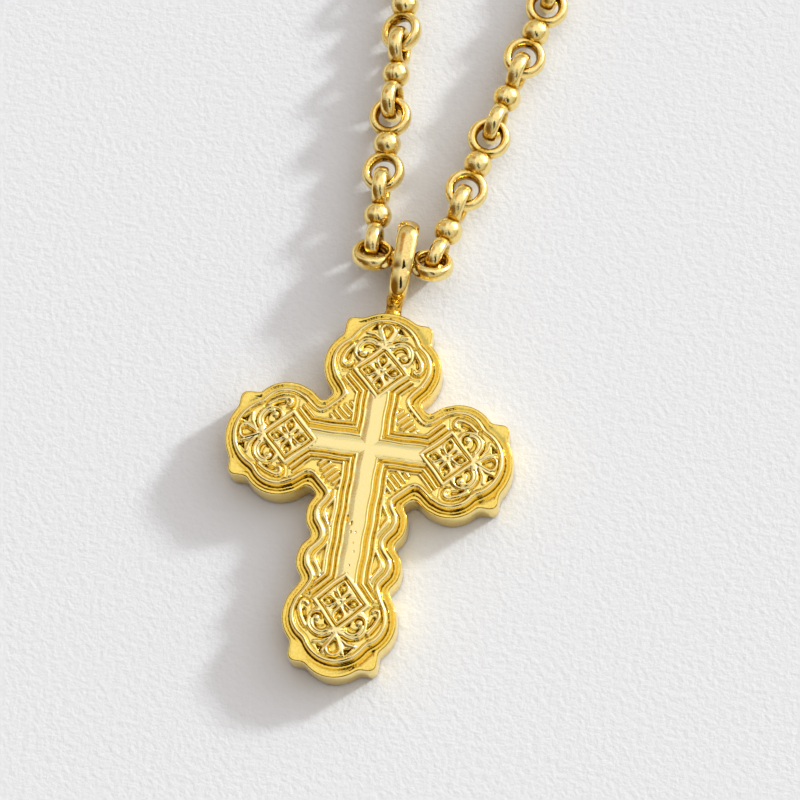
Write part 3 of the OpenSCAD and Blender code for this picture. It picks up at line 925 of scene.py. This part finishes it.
def links_tree():
    """Puts a link on every point, turned as the point's own turn says."""
    tree = bpy.data.node_groups.new("links_along_strand", "GeometryNodeTree")
    for name, kind in (("Spots", "Geometry"), ("Link", "Object"), ("Metal", "Material")):
        tree.interface.new_socket(name, in_out="INPUT", socket_type="NodeSocket" + kind)
    tree.interface.new_socket("Strand", in_out="OUTPUT", socket_type="NodeSocketGeometry")
    given = add_node(tree, "NodeGroupInput").outputs
    shape = add_node(tree, "GeometryNodeObjectInfo", {"Object": given["Link"]}, transform_space="ORIGINAL")
    turn = add_node(tree, "GeometryNodeInputNamedAttribute", {"Name": "turn"}, data_type="FLOAT_VECTOR")
    rotation = add_node(tree, "FunctionNodeEulerToRotation", {0: turn.outputs["Attribute"]})
    placed = add_node(tree, "GeometryNodeInstanceOnPoints", {
        "Points": given["Spots"], "Instance": shape.outputs["Geometry"],
        "Rotation": rotation.outputs["Rotation"]})
    real = add_node(tree, "GeometryNodeRealizeInstances", {"Geometry": placed.outputs["Instances"]})
    metal = add_node(tree, "GeometryNodeSetMaterial", {
        "Geometry": real.outputs["Geometry"], "Material": given["Metal"]})
    add_node(tree, "NodeGroupOutput", {"Strand": metal.outputs["Geometry"]})
    return tree


strand_tree = links_tree()
# Gold links, cast and tumbled: as bright as the cross, with a softer gloss and fine dents from wear
chain_gold = polished_gold(
    "polished_chain_gold", "#F4DA98", rough_low=0.1, rough_high=0.26, grain_mm=0.2, grain_depth=0.02)
# The ramp's deeper colours are painted shade inside the eyes and where they meet the balls
paint_hollow_shade(chain_gold, ("#FDE8A2", "#F8D574", "#C4962C", "#3A2804"), speckle=0.3, speckle_mm=0.22)


def link_strand(name, spots, turns, material):
    """A run of links at the given places, made a plain mesh."""
    mesh = bpy.data.meshes.new(name + "_spots")
    mesh.from_pydata([tuple(Vector(s) * MM + crossing) for s in spots], [], [])
    mesh.attributes.new("turn", "FLOAT_VECTOR", "POINT").data.foreach_set("vector", np.ravel(turns))
    maker = in_scene(name + "_spots", mesh)
    modifier = maker.modifiers.new("links", "NODES")
    modifier.node_group = strand_tree
    sockets = {s.name: s.identifier for s in strand_tree.interface.items_tree if s.in_out == "INPUT"}
    modifier[sockets["Link"]] = link_shape
    modifier[sockets["Metal"]] = material
    bpy.context.view_layer.update()
    seen = maker.evaluated_get(bpy.context.evaluated_depsgraph_get())
    made = bpy.data.meshes.new_from_object(seen)
    bpy.data.objects.remove(maker)
    return in_scene(name, made)


# The strand's path is a straight run, a bend outward and then the big circle round to the clasp. The circle's
# radius is what the strand's length leaves for it.
first, wide = math.radians(start_turn), math.radians(wide_turn)
out_angle = math.radians(wide_turn - start_turn)
cos_span = math.cos(first) - math.cos(wide)
straight_x = start_x + straight_l * math.sin(first)
strand_l = link_count * pitch + clasp_out
loop_r = (strand_l - straight_l + out_angle * straight_x / cos_span) / (
    out_angle * math.cos(wide) / cos_span + math.radians(90 + wide_turn))
out_r = (loop_r * math.cos(wide) - straight_x) / cos_span
out_l = out_r * out_angle
out_y = straight_l * math.cos(first) + out_r * (math.sin(wide) - math.sin(first))
clasp_y = out_y + loop_r * (1 + math.sin(wide)) - clasp_out ** 2 / (4 * loop_r)
lean = math.radians(-loop_lean)


def in_plan(x, y):
    """A place of the loop, leaned and moved to the bail."""
    return np.array([
        loop_at[0] + x * math.cos(lean) - y * math.sin(lean),
        loop_at[1] + x * math.sin(lean) + y * math.cos(lean)])


def strand_spot(s, side):
    """Place of the strand at a distance from its first eye."""
    if s < straight_l:
        return in_plan(side * (start_x + s * math.sin(first)), s * math.cos(first))
    if s < straight_l + out_l:
        a = first + (s - straight_l) / out_r
        return in_plan(
            side * (straight_x + out_r * (math.cos(first) - math.cos(a))),
            straight_l * math.cos(first) + out_r * (math.sin(a) - math.sin(first)))
    a = wide - (s - straight_l - out_l) / loop_r
    return in_plan(side * loop_r * math.cos(a), out_y + loop_r * (math.sin(wide) - math.sin(a)))


link_seed = 11
link_rng = np.random.default_rng(link_seed)
for side, node in ((-1, "chain_left"), (1, "chain_right")):
    spots, turns = [], []
    for k in range(link_count):
        near, far = strand_spot(k * pitch, side), strand_spot(k * pitch + 2 * eye_out, side)
        way = far - near
        twist = strand_twist[side] * min(1, k / full_link, max(0, faded_link - k) / fade_links)
        roll = math.radians((90 if k % 2 == 0 else 0) + twist + link_rng.uniform(-looseness, looseness))
        spots.append((*((near + far) / 2), chain_z))
        turns.append((roll, 0, math.atan2(way[1], way[0])))
    strand = link_strand(node + "_links", spots, turns, chain_gold)
    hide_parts(node)
    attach(strand, "root")


# Centre link: a link like the others, cast and polished like them. It is threaded through the bail and tilted
# by the bar that it lies on, and a strand hangs on each of its eyes.
centre_at, centre_tilt, centre_turn = (0.1, 21, 3.25), 36, -3
centre = link_strand(
    "centre_link_cast", [centre_at], [(math.radians(-centre_tilt), 0, math.radians(centre_turn))], chain_gold)
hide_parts("centre_link")
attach(centre, "root")


# Clasp: hidden in the photo, so a plain bowed barrel with an eye at each end, closed round the strands' last
# eyes. It is of the chain's gold and polished like it.
barrel_r, barrel_l, bow_r = 1.75, 2 * (clasp_out - eye_d / 2) + 1, 9
row_count, side_count = 25, 40
turn = np.linspace(0, 2 * math.pi, side_count, endpoint=False)
barrel = []
for x in np.linspace(-barrel_l / 2, barrel_l / 2, row_count):
    r = barrel_r - bow_r + math.sqrt(bow_r ** 2 - x * x)
    barrel += [(x, r * math.cos(a), r * math.sin(a)) for a in turn]
clasp_points, clasp_faces = joined([
    ((np.array(barrel), tube_faces(row_count, side_count)), (0, 0, 0)),
    (ring_mesh(), (-clasp_out, 0, 0)), (ring_mesh(), (clasp_out, 0, 0))])
spin = np.array([[math.cos(lean), math.sin(lean), 0], [-math.sin(lean), math.cos(lean), 0], [0, 0, 1]])
clasp_points = clasp_points @ spin + np.array([*in_plan(0, clasp_y), chain_z])
clasp = new_piece("barrel_clasp", clasp_points, clasp_faces, chain_gold)
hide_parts("clasp")
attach(clasp, "root")
bpy.data.objects.remove(link_shape)


# Surface: a wide sheet of heavy white paper, plain and flat. Its tooth is 0.67 mm wide and 0.1 mm deep, which
# is coarser than the real one, so that light across it shows a faint grain.
paper = bpy.data.meshes.new("paper")
half, tooth_mm, tooth_deep_mm = 1.5, 1 / 1.5, 0.1
corners = [(-half, -half, 0), (half, -half, 0), (half, half, 0), (-half, half, 0)]
paper.from_pydata(corners, [], [(0, 1, 2, 3)])
paper_sheet = in_scene("paper", paper)
# Uncoated paper: matt and almost white, a touch cool beside the gold
paper_white = bpy.data.materials.new("white_paper")
paper_white.use_nodes = True
tree = paper_white.node_tree
shader = tree.nodes["Principled BSDF"]
shader.inputs["Base Color"].default_value = linear("#E8EAED")
shader.inputs["Roughness"].default_value = 0.85
shader.inputs["Specular IOR Level"].default_value = 0.15
where = add_node(tree, "ShaderNodeTexCoord").outputs["Object"]
tooth = add_node(tree, "ShaderNodeTexNoise", {
    "Vector": where, "Scale": 1 / (tooth_mm * MM), "Detail": 4.0, "Roughness": 0.6})
bump = add_node(tree, "ShaderNodeBump", {
    "Strength": 1.0, "Distance": tooth_deep_mm * MM, "Height": tooth.outputs["Fac"]})
tree.links.new(bump.outputs["Normal"], shader.inputs["Normal"])
paper.materials.append(paper_white)
paper_sheet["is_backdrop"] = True


# Light: a low soft sun from the upper right, a broad pale patch overhead, the bright window side, and the
# darker shapes of the room behind the camera and away from the window.
def direction(azimuth, elevation):
    """Unit vector toward an azimuth, clockwise from the cross's top, and an elevation, both in degrees."""
    a, e = math.radians(azimuth), math.radians(elevation)
    return Vector((math.sin(a) * math.cos(e), math.cos(a) * math.cos(e), math.sin(e)))


sun_azimuth, sun_elevation, sun_width = 49, 20.3, 6.5
sun_data = bpy.data.lights.new("low_sun", "SUN")
sun_data.energy = 2.42
sun_data.angle = math.radians(sun_width)
sun_data.color = (0.96, 1.0, 1.0)
sun = in_scene("low_sun", sun_data)
sun.rotation_euler = direction(sun_azimuth, sun_elevation).to_track_quat("Z", "Y").to_euler()

world = bpy.data.worlds.new("surround")
bpy.context.scene.world = world
world.use_nodes = True
tree = world.node_tree
background = tree.nodes["Background"]
ray = add_node(tree, "ShaderNodeTexCoord").outputs["Generated"]
# From the floor up the surround is dim, then warm, then cool white: colour and brightness, and the heights
# between which one turns into the next
floor_colour, warm_colour, high_colour = ("#A08048", 0.2), ("#F4DCA8", 0.68), ("#F2F6FF", 0.785)
warm_between, high_between = (0.0, 0.16), (0.15, 0.62)
# The window side, the warm side of the room, the ceiling, a lit wall on the left and the dark shapes round
# the camera: azimuth, elevation, half-angle of the full part, half-angle where it ends, colour, brightness
surround_parts = (
    (50, 26, 10, 36, "#FFFFFF", 2.45),
    (225, 22, 20, 48, "#D8A040", 0.26),
    (50, 74, 25, 42, "#FEFBFC", 1.07),
    (315, 44, 6, 20, "#E0AC60", 0.72),
    (158, 76, 3, 8, "#60441C", 0.1),
    (158, 66, 6, 12, "#60441C", 0.05),
    (157, 53, 7, 13, "#60441C", 0.05),
    (156, 40, 7, 13, "#60441C", 0.05),
)


def turned_into(before, value, low, high, colour, bright):
    """The light before, turned into a colour as a value goes from low to high."""
    share = add_node(tree, "ShaderNodeMapRange", {
        "Value": value, "From Min": low, "From Max": high}, interpolation_type="SMOOTHSTEP")
    return add_node(tree, "ShaderNodeMix", {
        "Factor": share.outputs["Result"], 6: before, 7: [bright * c for c in linear(colour)]},
        data_type="RGBA").outputs[2]


height = add_node(tree, "ShaderNodeSeparateXYZ", {"Vector": ray}).outputs["Z"]
light = [floor_colour[1] * c for c in linear(floor_colour[0])]
light = turned_into(light, height, *warm_between, *warm_colour)
light = turned_into(light, height, *high_between, *high_colour)
for azimuth, elevation, full, end, colour, bright in surround_parts:
    toward = add_node(tree, "ShaderNodeVectorMath", {
        0: ray, 1: tuple(direction(azimuth, elevation))}, operation="DOT_PRODUCT")
    low, high = math.cos(math.radians(end)), math.cos(math.radians(full))
    light = turned_into(light, toward.outputs["Value"], low, high, colour, bright)
tree.links.new(light, background.inputs["Color"])


# Camera: about 36 cm away, above the foot's right and turned a little about its own axis, as the photo was
# taken. Its focal length is given in pixels of the photo.
focal_px, image_px, sensor_mm = 3500, 800, 36
camera_data = bpy.data.cameras.new("camera")
camera_data.lens = focal_px / image_px * sensor_mm
camera_data.sensor_width = sensor_mm
camera = in_scene("camera", camera_data)
camera_at = Vector((43.54, -101.81, 344.93))
aim_at = Vector((2.46, 5.46, 4.2))
camera_roll = 12.24
camera.location = crossing + camera_at * MM
look = (aim_at - camera_at).to_track_quat("-Z", "Y").to_matrix()
camera.rotation_euler = (look @ Matrix.Rotation(math.radians(-camera_roll), 3, "Z")).to_euler()
camera_data.clip_start, camera_data.clip_end = 0.01, 10
bpy.context.scene.camera = camera
bpy.context.scene.view_settings.view_transform = "Standard"

low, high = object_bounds()
